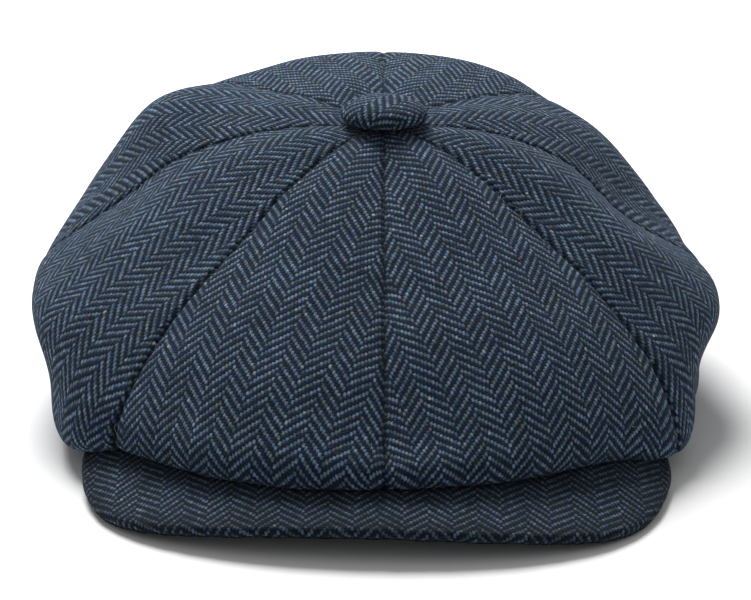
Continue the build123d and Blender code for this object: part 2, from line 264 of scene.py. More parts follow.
def flat_cut(net):
    """Where each point of a wedge lay in the flat cloth, the size of its cut, and its area."""
    shares, halves, lengths = [], [], [0.0]
    for k, row in enumerate(net):
        across = [0.0]
        for p, q in zip(row[:-1], row[1:]):
            across.append(across[-1] + (q - p).length)
        halves.append(across[-1] / 2)
        shares.append([2 * a / max(across[-1], 1e-9) - 1 for a in across])
        if k:
            steps = [(p - q).length for p, q in zip(row, net[k - 1])]
            lengths.append(lengths[-1] + sum(steps) / len(steps))
    spots = []
    along = [0.0] * len(net[0])
    for k, half in enumerate(halves):
        if k:
            step = lengths[k] - lengths[k - 1]
            for c, share in enumerate(shares[k]):
                lean = min(abs(share * (half - halves[k - 1]) / step), 0.9)
                along[c] += step * math.sqrt(1 - lean * lean)
        spots.append([(share * half, along[c]) for c, share in enumerate(shares[k])])
    area = sum((a + b) * (m - l) for a, b, l, m in zip(halves, halves[1:], lengths, lengths[1:]))
    return spots, (2 * max(halves), lengths[-1]), area


def net_normals(net):
    """Outward direction at each point of a net."""
    rows, columns = len(net), len(net[0])
    result = []
    for k in range(rows):
        row = []
        for c in range(columns):
            down = net[min(k + 1, rows - 1)][c] - net[max(k - 1, 0)][c]
            across = net[k][min(c + 1, columns - 1)] - net[k][max(c - 1, 0)]
            row.append(down.cross(across).normalized())
        result.append(row)
    return result


def swell(value, width):
    """A soft hump, 1 at value 0 and gone at a few widths."""
    return math.exp(-((value / width) ** 2))


def worn(place):
    """Soft dents and smaller creases, the same on both sides of a seam."""
    deep = noise.noise(place / DENT_SIZE + Vector((3.1, 0.7, 5.2))) * DENT
    fine = noise.noise(place / CREASE_SIZE + Vector((8.4, 2.5, 1.3))) * CREASE
    return deep + fine


def settled(place):
    """How far wear has moved the crown at a place."""
    move = Vector()
    for centre, way, spread in SETTLED:
        move += Vector(way) * MM * swell((place - Vector(centre) * MM).length, spread * MM)
    return move


def slack(along):
    """How free the cloth is to move at a share of its length: not at all at button and hem."""
    return min(max(along - SLACK_START, 0) / SLACK_RISE, 1) * min((1 - along) / SLACK_FALL, 1)


def seam_pull(along, half, side):
    """How hard a seam pulls: less at its ends, where the wedge is narrow, and behind."""
    narrow = min(half / SEAM_NARROW, 1) * min((1 - along) / 0.06, 1)
    start = min(max(along - 0.04, 0) / 0.03, 1)
    return narrow * (start * (0.7 + 0.3 * math.cos(side)))


def panel_sheet(panel, tree, rows, steps, hem_gap, sink):
    """One wedge of cloth between its seams, and the flat piece that it was cut from."""
    first, last = panel_angles(f"{panel}_panel")
    columns = []
    for share in seam_shares(steps):
        angle = (first + last) / 2 + (share * SEAM_SHARE + OFF_CENTRE) * (last - first) / 2
        columns.append(cloth_line(tree, angle, WEDGE_START, hem_gap, rows))
    net = []
    for k in range(rows):
        loose = slack(k / (rows - 1))
        row = [column[k] + settled(column[k]) * loose for column in columns]
        for place, column in zip(row, columns):
            place.z = max(place.z, min(column[k].z, TABLE_CLEAR))
        net.append(row)
    spots, flat, area = flat_cut(net)
    normals = net_normals(net)
    shift = sum(map(ord, panel)) % 7 * MM    # no two panels are cut at the same thread
    seam_and_painted_shades = []
    for k in range(rows):
        half = abs(spots[k][0][0])
        along = k / (rows - 1)
        loose = slack(along)
        for c, point in enumerate(net[k]):
            edge = half - abs(spots[k][c][0])
            side = first if c < len(columns) / 2 else last
            # Painted shade along each seam, together with its dark thread and lint, deeper at the seams near
            # the front left.
            seam_and_painted_shades.append(swell(edge, SEAM_SHADE) * (0.6 + 0.4 * swell(side - SHADIEST_SEAM, 0.5)))
            hollow = SEAM_DEPTH * swell(edge, SEAM_WIDTH) + SEAM_HOLLOW * swell(edge, SEAM_HOLLOW_WIDTH)
            move = -hollow * seam_pull(along, half, side)
            drift = 4 * noise.noise(point / DRIFT_SIZE)
            wave = math.sin(math.tau * spots[k][c][1] / PUCKER_LENGTH + drift)
            move += PUCKER * wave * math.exp(-edge / PUCKER_REACH) * loose
            move += worn(point) * loose - sink
            net[k][c] = point + normals[k][c] * move
        for edge, inner in ((0, 1), (-1, -2)):
            net[k][edge] += (net[k][edge] - net[k][inner]).normalized() * SEAM_TUCK
    spots = [[(x, y + shift) for x, y in row] for row in spots]
    return net, spots, seam_and_painted_shades, flat, area


def linear(hex_colour):
    """An sRGB hex colour as the linear colour that shaders take."""
    channels = [int(hex_colour[i:i + 2], 16) / 255 for i in (1, 3, 5)]
    curve = [c / 12.92 if c <= 0.04045 else ((c + 0.055) / 1.055) ** 2.4 for c in channels]
    return (*curve, 1)


def add_node(tree, kind, links=None, **settings):
    """Adds a shader node with its settings, and links or sets its inputs."""
    node = tree.nodes.new(f"ShaderNode{kind}")
    for name, value in settings.items():
        setattr(node, name, value)
    for key, value in (links or {}).items():
        if isinstance(value, bpy.types.Node):
            value = value.outputs[0]
        if isinstance(value, bpy.types.NodeSocket):
            tree.links.new(value, node.inputs[key])
        else:
            node.inputs[key].default_value = value
    return node


def new_material(name):
    """An empty material, and its node tree."""
    material = bpy.data.materials.new(name)
    material.use_nodes = True
    material.node_tree.nodes.clear()
    return material, material.node_tree


def set_ramp(ramp, stops):
    """Gives a colour ramp its stops."""
    elements = ramp.color_ramp.elements
    while len(elements) > 1:
        elements.remove(elements[-1])
    elements[0].position, elements[0].color = stops[0][0], linear(stops[0][1])
    for position, colour in stops[1:]:
        elements.new(position).color = linear(colour)


def herringbone_tweed():
    """Milled woollen tweed in broken herringbone: a 2/2 twill that turns every eight threads and starts each
    column two threads on, pale blue-grey warp over navy weft. The eye sees short pale dashes in zigzag
    columns, soft edged from the milled wool, with runs of teal, slate, violet and brown in the yarn. Painted
    shade darkens the gaps between threads, the seams together with their dark thread and lint, and the peak."""
    material, tree = new_material("herringbone_tweed")
    cut = add_node(tree, "UVMap", uv_map="cut")
    # The cloth counted in threads, which waver as thick and thin yarn does.
    threads = add_node(tree, "VectorMath", {0: cut, 1: (1 / THREAD, 1 / THREAD, 0)}, operation="MULTIPLY")
    waver = add_node(tree, "TexNoise", {"Vector": threads, "Scale": 0.55, "Detail": 4.0, "Roughness": 0.7})
    centred = add_node(
        tree, "VectorMath", {0: waver.outputs["Color"], 1: (0.5, 0.5, 0.5)}, operation="SUBTRACT")
    bent = add_node(tree, "VectorMath", {0: centred, 1: (1.2, 1.2, 0), 2: threads}, operation="MULTIPLY_ADD")
    place = add_node(tree, "SeparateXYZ", {0: bent})
    x, y = place.outputs[0], place.outputs[1]
    # Columns: the draft runs there and back, and each one starts two threads on.
    folded = add_node(tree, "Math", {0: x, 1: RIB_THREADS}, operation="PINGPONG")
    column = add_node(tree, "Math", {0: x, 1: RIB_THREADS}, operation="DIVIDE")
    column = add_node(tree, "Math", {0: column}, operation="FLOOR")
    broken = add_node(tree, "Math", {0: column, 1: 2.0}, operation="MULTIPLY")
    y = add_node(tree, "Math", {0: y, 1: broken}, operation="ADD")
    warp = add_node(tree, "Math", {0: folded}, operation="FLOOR")
    weft = add_node(tree, "Math", {0: y}, operation="FLOOR")

    def float_height(end, crossing, fraction_of, middle):
        """Height of a float, highest at its middle along the thread and across it."""
        run = add_node(tree, "Math", {0: end, 1: crossing}, operation="ADD")
        turn = add_node(tree, "Math", {0: run, 1: 4.0}, operation="FLOORED_MODULO")
        off = add_node(tree, "Math", {0: turn, 1: middle}, operation="SUBTRACT")
        square = add_node(tree, "Math", {0: off, 1: off}, operation="MULTIPLY")
        along = add_node(tree, "Math", {0: 1.0, 1: square}, operation="SUBTRACT", use_clamp=True)
        part = add_node(tree, "Math", {0: fraction_of}, operation="FRACT")
        side = add_node(tree, "Math", {0: part, 1: 2.0, 2: -1.0}, operation="MULTIPLY_ADD")
        bow = add_node(tree, "Math", {0: side, 1: side}, operation="MULTIPLY")
        across = add_node(tree, "Math", {0: bow, 1: -0.4, 2: 1.0}, operation="MULTIPLY_ADD")
        return add_node(tree, "Math", {0: along, 1: across}, operation="MULTIPLY")

    warp_height = float_height(warp, y, folded, 1.0)
    weft_height = float_height(folded, weft, y, 3.0)
    height = add_node(tree, "Math", {0: warp_height, 1: weft_height}, operation="MAXIMUM")
    over = add_node(tree, "Math", {0: warp_height, 1: weft_height}, operation="SUBTRACT")
    # Milling blurs where warp gives way to weft, and some floats lie deeper than others.
    fuzz = add_node(tree, "TexNoise", {"Vector": threads, "Scale": 2.4, "Detail": 2.0, "Roughness": 0.6})
    fuzz = add_node(tree, "MapRange", {0: fuzz, 1: 0.2, 2: 0.8, 3: -0.6, 4: 0.9})
    pale = add_node(tree, "Math", {0: over, 1: 1.2, 2: fuzz}, operation="MULTIPLY_ADD", use_clamp=True)
    floats = add_node(tree, "Math", {0: y, 1: 2.0}, operation="DIVIDE")
    floats = add_node(tree, "Math", {0: floats}, operation="FLOOR")
    one_float = add_node(tree, "CombineXYZ", {0: warp, 1: floats, 2: column})
    uneven = add_node(tree, "TexWhiteNoise", {0: one_float})
    strength = add_node(tree, "MapRange", {0: uneven, 3: 0.3, 4: 1.0})
    pale = add_node(tree, "Math", {0: pale, 1: strength}, operation="MULTIPLY")

    # Yarn colours, which change slowly along a thread and at once from thread to thread.
    end_number = add_node(tree, "Math", {0: x}, operation="FLOOR")
    warp_place = add_node(tree, "CombineXYZ", {0: end_number, 1: y})
    warp_run = add_node(tree, "VectorMath", {0: warp_place, 1: (3.7, 0.16, 0)}, operation="MULTIPLY")
    warp_tone = add_node(tree, "TexNoise", {"Vector": warp_run, "Scale": 1.0, "Detail": 1.0})
    warp_colour = add_node(tree, "ValToRGB", {0: warp_tone})
    set_ramp(warp_colour, (
        (0.24, "#525d5a"), (0.33, "#686861"), (0.4, "#52717c"), (0.46, "#637789"),
        (0.52, "#768799"), (0.57, "#516f92"), (0.63, "#706f89"), (0.7, "#5c7577"), (0.78, "#a9b0b2"),
    ))
    weft_place = add_node(tree, "CombineXYZ", {0: x, 1: weft})
    weft_run = add_node(tree, "VectorMath", {0: weft_place, 1: (0.16, 3.7, 0)}, operation="MULTIPLY")
    weft_tone = add_node(tree, "TexNoise", {"Vector": weft_run, "Scale": 1.0, "Detail": 1.0})
    weft_colour = add_node(tree, "ValToRGB", {0: weft_tone})
    set_ramp(weft_colour, (
        (0.3, "#0b1623"), (0.46, "#0e1d2c"), (0.56, "#142037"), (0.66, "#112632"), (0.76, "#281f21"),
    ))
    yarn = add_node(tree, "Mix", {0: pale, 6: weft_colour, 7: warp_colour}, data_type="RGBA")

    # Tone of the fibres and of worn patches, painted shade in the gaps between threads, and the 'seam'
    # attribute's painted shade with the seams' dark thread and lint.
    wool = add_node(tree, "TexNoise", {"Vector": cut, "Scale": 2100.0, "Detail": 3.0, "Roughness": 0.7})
    wool_shade = add_node(tree, "MapRange", {0: wool, 1: 0.25, 2: 0.75, 3: 0.5, 4: 1.8})
    depth_shade = add_node(tree, "MapRange", {0: height, 1: 0.0, 2: 0.9, 3: 0.5, 4: 1.1})
    patch = add_node(tree, "TexNoise", {"Vector": cut, "Scale": 75.0, "Detail": 3.0})
    patch_shade = add_node(tree, "MapRange", {0: patch, 1: 0.3, 2: 0.7, 3: 0.84, 4: 1.16})
    wool_shade = add_node(tree, "Math", {0: wool_shade, 1: patch_shade}, operation="MULTIPLY")
    # Painted shade from the 'seam' attribute: along the crown's seams, where it also stands for their thread
    # and lint, and over the peak.
    seam = add_node(tree, "Attribute", attribute_name="seam")
    seam_and_painted_shade_factor = add_node(tree, "MapRange", {0: seam.outputs["Fac"], 3: 1.0, 4: 0.12})
    shade = add_node(tree, "Math", {0: wool_shade, 1: depth_shade}, operation="MULTIPLY")
    shade = add_node(tree, "Math", {0: shade, 1: seam_and_painted_shade_factor}, operation="MULTIPLY")
    colour = add_node(tree, "VectorMath", {0: yarn.outputs[2], 3: shade}, operation="SCALE")

    relief = add_node(tree, "Math", {0: wool, 1: 0.6, 2: height}, operation="MULTIPLY_ADD")
    bump = add_node(tree, "Bump", {"Height": relief, "Distance": 0.35 * MM, "Strength": 0.9})
    shader = add_node(tree, "BsdfPrincipled", {
        "Base Color": colour, "Normal": bump, "Roughness": 0.95, "Specular IOR Level": 0.1,
        "Sheen Weight": 0.05, "Sheen Roughness": 0.6, "Sheen Tint": linear("#aab4c0"),
    })
    add_node(tree, "OutputMaterial", {0: shader})
    return material


tweed = herringbone_tweed()
crown_tree = search_tree(*[f"{panel}_panel" for panel in PANELS])
for panel in PANELS:
    net, spots, seam_and_painted_shades, flat, area = panel_sheet(
        panel, crown_tree, LINE_ROWS, SEAM_STEPS, HEM_GAP, 0.0)
    sheet = net_mesh(f"{panel}_cloth", net, spots, seam_and_painted_shades)
    clad(sheet, TWEED, 1, tweed, "crown", f"{panel}_panel")


# ---- Lining ----
# Eight wedges of dark satin, cut like the panels and bagged inside them, with the
# raw seams hidden between lining and tweed. It hangs a little slack.
SATIN = 0.6 * MM
LINING_ROWS = 56
LINING_STEPS = (0, 1, 2.2, 4, 6.5, 10, 15, 21, 28, 36, 44)
LINING_SINK = 0.3 * MM        # how far it hangs in from its solid
LINING_HEM = 4.2 * MM         # it ends this far out from the headband


def satin_lining():
    """Woven viscose satin: long floats that catch a soft streaky shine across the warp, with
    fine drawn lines and small puckers."""
    material, tree = new_material("satin_lining")
    cut = add_node(tree, "UVMap", uv_map="cut")
    drawn = add_node(tree, "VectorMath", {0: cut, 1: (2600.0, 160.0, 1.0)}, operation="MULTIPLY")
    threads = add_node(tree, "TexNoise", {"Vector": drawn, "Scale": 1.0, "Detail": 2.0})
    soft = add_node(tree, "TexNoise", {"Vector": cut, "Scale": 60.0, "Detail": 3.0})
    tone = add_node(tree, "Math", {0: threads, 1: 0.5, 2: soft}, operation="MULTIPLY_ADD")
    colour = add_node(tree, "ValToRGB", {0: tone})
    set_ramp(colour, ((0.35, "#10141d"), (0.75, "#1d2534"), (1.0, "#2b3548")))
    ripple = add_node(tree, "TexNoise", {"Vector": cut, "Scale": 110.0, "Detail": 4.0})
    relief = add_node(tree, "Math", {0: ripple, 1: 3.0, 2: threads}, operation="MULTIPLY_ADD")
    bump = add_node(tree, "Bump", {"Height": relief, "Distance": 0.3 * MM, "Strength": 0.6})
    gloss = add_node(tree, "MapRange", {0: threads, 3: 0.34, 4: 0.5})
    shader = add_node(tree, "BsdfPrincipled", {
        "Base Color": colour, "Normal": bump, "Roughness": gloss.outputs[0],
        "Specular IOR Level": 0.5, "Anisotropic": 0.5, "Sheen Weight": 0.1,
    })
    add_node(tree, "OutputMaterial", {0: shader})
    return material


satin = satin_lining()
lining_tree = search_tree(*[f"{panel}_lining" for panel in PANELS])
for panel in PANELS:
    net, spots, _, flat, area = panel_sheet(
        panel, lining_tree, LINING_ROWS, LINING_STEPS, LINING_HEM, LINING_SINK)
    sheet = net_mesh(f"{panel}_satin", net, spots)
    clad(sheet, SATIN, 1, satin, "crown", f"{panel}_lining")


# ---- Headband, tape and sweatband ----
# Three strips stitched together round the head opening: tweed outside, a stiff
# cotton tape between, and a leather sweatband inside with a rolled upper edge.
BAND_PLACES = 240             # columns round an oval strip
BAND = 0.5 * MM
BAND_ROWS = 6
BAND_WAVE = 0.25 * MM         # how far the strip wavers from its oval
BAND_TURN_IN = ((-0.5 * MM, 0.0), (-1.2 * MM, 0.15 * MM))   # the lower edge, turned inwards
TAPE = 0.8 * MM
TAPE_ROWS = 4
LEATHER = 0.7 * MM
LEATHER_ROWS = 10
LEATHER_WAVE = 0.15 * MM
ROLLED_EDGE = 1.1 * MM        # radius of the sweatband's rolled upper edge
ROLL_STEPS = 8
ROLL_TURN = 1.1               # half turns that the edge is rolled
ROLL_END = 2.5 * MM           # how far the edge runs down again behind the leather
END_SLICE = 2 * MM            # what counts as a strip's front or back end
STITCHES = 170                # a seam of lockstitch along the sweatband's lower edge
STITCH_LENGTH = 2.3 * MM
STITCH_RADIUS = 0.17 * MM
STITCH_HEIGHT = 2.4 * MM
STITCH_IN = 0.75 * MM         # from the solid's outside in to the thread


def oval_place(angle, half, height, base):
    """A point of an oval strip, at a height over its sloping lower edge."""
    x = hem_middle.x + half[0] * math.sin(angle)
    y = hem_middle.y - half[1] * math.cos(angle)
    return Vector((x, y, base[0] + base[1] * y + height))


def lower_edge(node):
    """The lower edge of a strip as a height and a slope along Y."""
    corners = [v.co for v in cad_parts[node].data.vertices]
    front, back = min(v.y for v in corners), max(v.y for v in corners)
    ends = [min(v.z for v in corners if abs(v.y - y) < END_SLICE) for y in (front, back)]
    slope = (ends[1] - ends[0]) / (back - front)
    return ends[1] - slope * back, slope


def oval_strip(name, node, profile, waver):
    """A strip round the head opening: profile gives how far out and how high each row is."""
    low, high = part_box(node)
    half = (high - low) / 2
    base = lower_edge(node)
    net, spots = [], []
    run = 0.0
    for k, (out, height) in enumerate(profile):
        if k:
            run += math.dist(profile[k], profile[k - 1])
        row, flat = [], []
        for c in range(BAND_PLACES + 1):
            angle = math.tau * c / BAND_PLACES
            around = Vector((9 * math.sin(angle), 9 * math.cos(angle), height / (9 * MM)))
            ripple = waver * noise.noise(around)
            reach = (half.x + out + ripple, half.y + out + ripple)
            row.append(oval_place(angle, reach, height, base))
            flat.append((angle * (half.x + half.y) / 2, run))
        net.append(row[:-1])
        spots.append(flat)
    return net_mesh(name, net, spots), (spots[0][-1][0], run)


def node_height(node):
    """Height of a strip's wall over its own lower edge."""
    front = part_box(node)[0].y
    heights = [v.co.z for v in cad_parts[node].data.vertices if v.co.y - front < END_SLICE]
    return max(heights) - min(heights)


def tape_cotton():
    """Unbleached woven cotton tape, plain and matt, with fine ribs across it."""
    material, tree = new_material("cotton_tape")
    cut = add_node(tree, "UVMap", uv_map="cut")
    ribs = add_node(tree, "TexWave", {"Vector": cut, "Scale": 250.0, "Distortion": 0.6, "Detail": 1.0})
    fuzz = add_node(tree, "TexNoise", {"Vector": cut, "Scale": 900.0, "Detail": 3.0})
    tone = add_node(tree, "Math", {0: ribs, 1: 0.4, 2: fuzz}, operation="MULTIPLY_ADD")
    colour = add_node(tree, "ValToRGB", {0: tone})
    set_ramp(colour, ((0.3, "#a8a193"), (0.9, "#d3ccbd")))
    bump = add_node(tree, "Bump", {"Height": tone, "Distance": 0.2 * MM, "Strength": 0.7})
    shader = add_node(tree, "BsdfPrincipled", {"Base Color": colour, "Normal": bump, "Roughness": 0.9})
    add_node(tree, "OutputMaterial", {0: shader})
    return material


def sweatband_leather():
    """Thin dark skiver leather, finished matt: fine pebbled grain, darker in its pores, and
    polished a little where the head rubs it."""
    material, tree = new_material("sweatband_leather")
    cut = add_node(tree, "UVMap", uv_map="cut")
    grain = add_node(tree, "TexVoronoi", {"Vector": cut, "Scale": 950.0}, feature="DISTANCE_TO_EDGE")
    pores = add_node(tree, "MapRange", {0: grain, 1: 0.0, 2: 0.18})
    worn_noise = add_node(tree, "TexNoise", {"Vector": cut, "Scale": 45.0, "Detail": 5.0})
    mixed = add_node(tree, "Math", {0: pores, 1: 0.35, 2: worn_noise}, operation="MULTIPLY_ADD")
    colour = add_node(tree, "ValToRGB", {0: mixed})
    set_ramp(colour, ((0.4, "#171310"), (0.65, "#2a221c"), (0.95, "#3a3028")))
    bump = add_node(tree, "Bump", {"Height": pores, "Distance": 0.15 * MM, "Strength": 0.6})
    rough = add_node(tree, "MapRange", {0: worn_noise, 1: 0.3, 2: 0.7, 3: 0.62, 4: 0.42})
    shader = add_node(tree, "BsdfPrincipled", {
        "Base Color": colour, "Normal": bump, "Roughness": rough.outputs[0], "IOR": 1.5,
    })
    add_node(tree, "OutputMaterial", {0: shader})
    return material


band_height = node_height("headband_cloth")
band_rows = [(0.0, band_height * k / BAND_ROWS) for k in range(BAND_ROWS, -1, -1)]
band_rows += BAND_TURN_IN
headband, flat = oval_strip("headband_tweed", "headband_cloth", band_rows, BAND_WAVE)
clad(headband, BAND, 0, tweed, "crown", "headband_cloth")

tape_height = node_height("head_tape")
tape_rows = [(0.0, tape_height * k / TAPE_ROWS) for k in range(TAPE_ROWS, -1, -1)]
tape, flat = oval_strip("stiffening_tape", "head_tape", tape_rows, 0.0)
clad(tape, TAPE, 0, tape_cotton(), "crown", "head_tape")

leather_height = node_height("sweatband")
wall_start, wall_rise = 0.6 * MM, leather_height - 2.5 * MM
leather_rows = [(-0.15 * MM, 0.0), (0.0, wall_start)]
leather_rows += [(0.0, wall_start + wall_rise * k / LEATHER_ROWS) for k in range(1, LEATHER_ROWS + 1)]
crest = leather_height - ROLLED_EDGE
for k in range(1, ROLL_STEPS + 1):
    turn = math.pi * k / ROLL_STEPS * ROLL_TURN
    leather_rows.append((-ROLLED_EDGE * (1 - math.cos(turn)), crest + ROLLED_EDGE * math.sin(turn)))
leather_rows.append((leather_rows[-1][0] + 0.05 * MM, leather_rows[-1][1] - ROLL_END))
band, flat = oval_strip("leather_sweatband", "sweatband", leather_rows[::-1], LEATHER_WAVE)
clad(band, LEATHER, 1, sweatband_leather(), "crown", "sweatband")


def mottled(name, scale, detail, stops, roughness, depth=0.0, strength=1.0, shading=None):
    """A material that one noise mottles: in colour, in roughness and, to a depth, in relief."""
    material, tree = new_material(name)
    place = add_node(tree, "TexCoord").outputs["Object"]
    mottle = add_node(tree, "TexNoise", {"Vector": place, "Scale": scale, "Detail": detail})
    colour = add_node(tree, "ValToRGB", {0: mottle})
    set_ramp(colour, stops)
    rough = add_node(tree, "MapRange", {0: mottle, 3: roughness[0], 4: roughness[1]})
    inputs = {"Base Color": colour, "Roughness": rough.outputs[0]}
    if depth:
        inputs["Normal"] = add_node(
            tree, "Bump", {"Height": mottle, "Distance": depth, "Strength": strength})
    shader = add_node(tree, "BsdfPrincipled", inputs | (shading or {}))
    add_node(tree, "OutputMaterial", {0: shader})
    return material


def thread_cotton():
    """Waxed cotton sewing thread: two strands, twisted, faintly glossy."""
    stops = (0.3, "#5b5245"), (0.7, "#8a7c66")
    return mottled("waxed_thread", 2500.0, 2.0, stops, (0.55, 0.55), 0.05 * MM)


bpy.ops.object.select_all(action="DESELECT")
bpy.ops.mesh.primitive_uv_sphere_add(segments=6, ring_count=6, radius=STITCH_RADIUS)
stitch = bpy.context.object
for v in stitch.data.vertices:
    if abs(v.co.z) > 1e-6:
        v.co.z += math.copysign(STITCH_LENGTH / 2 - STITCH_RADIUS, v.co.z)
low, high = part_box("sweatband")
half, base = (high - low) / 2, lower_edge("sweatband")
half.x, half.y = half.x - STITCH_IN, half.y - STITCH_IN
seam = bmesh.new()
for k in range(STITCHES):
    angle = math.tau * k / STITCHES
    here = oval_place(angle, half, STITCH_HEIGHT, base)
    on = oval_place(angle + 0.01, half, STITCH_HEIGHT, base) - here
    turn = on.to_track_quat("Z", "Y").to_matrix().to_4x4()
    count = len(seam.verts)
    seam.from_mesh(stitch.data)
    seam.verts.ensure_lookup_table()
    bmesh.ops.transform(seam, matrix=Matrix.Translation(here) @ turn, verts=seam.verts[count:])
seam.to_mesh(stitch.data)
seam.free()
stitch.name = "sweatband_stitches"
bpy.ops.object.shade_smooth()
stitch.data.materials.append(thread_cotton())
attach(stitch, "crown")


# ---- Covered button ----
# A disc of the same tweed, laid with its weave turned, gathered over a tin dome and
# closed with a back plate. Its shank goes through the eight points to a washer.
BUTTON_COLUMNS = 96
BUTTON_CLOTH = 0.8 * MM
DOME_ROWS, ROLL_ROWS = 14, 5
BUTTON_ROLL = 2.4 * MM        # radius of the dome's lower edge
BUTTON_TURN_IN = 4.6 * MM     # how far the cloth is turned in under it
BUTTON_SWELL = 1.3 * MM       # the padded dome stands this far over its solid
BUTTON_TURN = math.radians(42)
BUTTON_GATHERS = 17
GATHER = 0.35 * MM            # depth of the gathers, from row GATHER_ROW of the net down
GATHER_ROW = 10
BUTTON_DENT = 0.25 * MM

button_radius = (button_high.x - button_low.x) / 2
button_height = button_high.z - button_low.z
button_middle = Vector((button_axis.x, button_axis.y, button_low.z))
dome_height = button_height + BUTTON_SWELL - BUTTON_ROLL
rows = []
for k in range(1, DOME_ROWS + 1):
    turn = k / DOME_ROWS * math.pi / 2
    rows.append((button_radius * math.sin(turn) ** 0.92, BUTTON_ROLL + dome_height * math.cos(turn)))
for k in range(1, ROLL_ROWS + 1):
    turn = k / ROLL_ROWS * math.pi / 2
    inwards = BUTTON_ROLL * (1 - math.cos(turn))
    rows.append((button_radius - inwards, BUTTON_ROLL * (1 - math.sin(turn))))
rows.append((button_radius - BUTTON_TURN_IN, 0.25 * MM))
net, spots = [], []
run = rows[0][0]
for k, (radius, height) in enumerate(rows):
    if k:
        run += math.dist(rows[k], rows[k - 1])
    row, flat = [], []
    for c in range(BUTTON_COLUMNS + 1):
        angle = math.tau * c / BUTTON_COLUMNS
        gather = math.sin(BUTTON_GATHERS * angle + 2.5 * math.sin(2 * angle))
        share = max(0.0, (k - GATHER_ROW) / 9)
        reach = radius + gather * GATHER * min(share, 1)
        lift = noise.noise(Vector((math.cos(angle), math.sin(angle), k / 5))) * BUTTON_DENT
        place = Vector((reach * math.sin(angle), -reach * math.cos(angle), height + lift))
        row.append(button_middle + place)
        flat.append((run * math.sin(angle + BUTTON_TURN), -run * math.cos(angle + BUTTON_TURN)))
    net.append(row[:-1])
    spots.append(flat)
button = net_mesh("button_tweed", net, spots)

shape = bmesh.new()           # the dome's crown is closed with one face
shape.from_mesh(button.data)
halfway = button_middle.z + button_height / 2
rim = [e for e in shape.edges if e.is_boundary and e.verts[0].co.z > halfway]
made = bmesh.ops.contextual_create(shape, geom=rim)
uv = shape.loops.layers.uv.active
for face in made["faces"]:
    for loop in face.loops:
        arm = loop.vert.co - button_middle
        angle = math.atan2(arm.x, -arm.y) + BUTTON_TURN
        loop[uv].uv = (rows[0][0] * math.sin(angle), -rows[0][0] * math.cos(angle))
bmesh.ops.recalc_face_normals(shape, faces=shape.faces)
shape.to_mesh(button.data)
shape.free()
clad(button, BUTTON_CLOTH, 1, tweed, "crown", "button_cloth")
area = math.pi * run * run


def pressed_metal(name, colours, roughness, grain):
    """Thin pressed metal sheet, finished as its name says, dulled by handling."""
    stops = (0.3, colours[0]), (0.7, colours[1])
    dulled = (roughness - 0.08, roughness + 0.12)
    return mottled(name, grain, 4.0, stops, dulled, 0.02 * MM, 0.5, {"Metallic": 1.0})


def dress(node, material):
    """Gives a solid that stays as it is a better material."""
    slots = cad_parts[node].data.materials
    slots.clear()
    slots.append(material)


tinned = pressed_metal("tinned_steel", ("#8f9092", "#b9babc"), 0.38, 400.0)
for node in ("button_shell", "button_back_plate", "button_shank", "inner_washer"):
    dress(node, tinned)


# ---- Peak ----
# A stiff plastic board between two tweed covers, arched and falling to the front.
# The top cover rolls over the edge and meets the under cover in a seam below it.
PEAK_COLUMNS = 181
PEAK_ROWS = 30
PEAK_SWEEP = math.radians(88.6)     # how far the net's columns fan out to either side
PEAK_REACH = range(20, 130)   # mm from the root between which the peak is looked for
PEAK_COVER = 1.0 * MM
EDGE_TURNS = (90, 68, 46, 24, 2, -18, -36)      # degrees round the edge, 90 on top
UNDER_TURNS = (-90, -74, -58, -46)
UNDER_SHRINK = 0.15 * MM      # the under cover lies this far inside the top one's roll
EDGE_PUCKER = 0.3 * MM
EDGE_PUCKER_REACH = 5 * MM
PEAK_DENT = 0.5 * MM
PEAK_DENT_SIZE = 30 * MM
PEAK_PAINTED_SHADE = 0.35                # painted shade over the whole peak, deeper at its middle and its rolled edge

top_tree, under_tree = search_tree("peak_top_cover"), search_tree("peak_under_cover")
peak_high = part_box("peak_top_cover")[1]
peak_root = Vector((hem_middle.x, peak_high.y, 0))
peak_thickness = peak_high.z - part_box("peak_under_cover")[1].z


def over_peak(place, tree, way):
    """Where an upright line through a place meets one of the covers, or None."""
    return tree.ray_cast(Vector((place.x, place.y, -way.z * 0.1)), way)[0]


def peak_edge(way, near, far):
    """Distance from the root at which the peak starts or ends, between two distances."""
    for _ in range(18):
        middle = (near + far) / 2
        if over_peak(peak_root + way * middle, top_tree, -UP) is None:
            far = middle
        else:
            near = middle
    return near


inner_line, outer_line = [], []
for c in range(PEAK_COLUMNS):
    way = outwards(PEAK_SWEEP * (2 * c / (PEAK_COLUMNS - 1) - 1))
    on_it = []
    for step in PEAK_REACH:
        if over_peak(peak_root + way * step * MM, top_tree, -UP) is not None:
            on_it.append(step * MM)
    if not on_it:
        continue
    inner_line.append(peak_root + way * peak_edge(way, on_it[0], on_it[0] - MM))
    outer_line.append(peak_root + way * peak_edge(way, on_it[-1], on_it[-1] + MM))


def softened(line, times):
    """A line of points with its small steps smoothed away."""
    for _ in range(times):
        middle = [(a + b + c) / 3 for a, b, c in zip(line, line[1:], line[2:])]
        line = [line[0]] + middle + [line[-1]]
    return line


inner_line, outer_line = softened(inner_line, 2), softened(outer_line, 2)


def strip_area(spots):
    """Area of a net in the flat cloth."""
    area = 0.0
    for upper, lower in zip(spots[:-1], spots[1:]):
        for a, b, c, d in zip(upper, lower, lower[1:], upper[1:]):
            area += abs((c[0] - a[0]) * (d[1] - b[1]) - (d[0] - b[0]) * (c[1] - a[1])) / 2
    return area


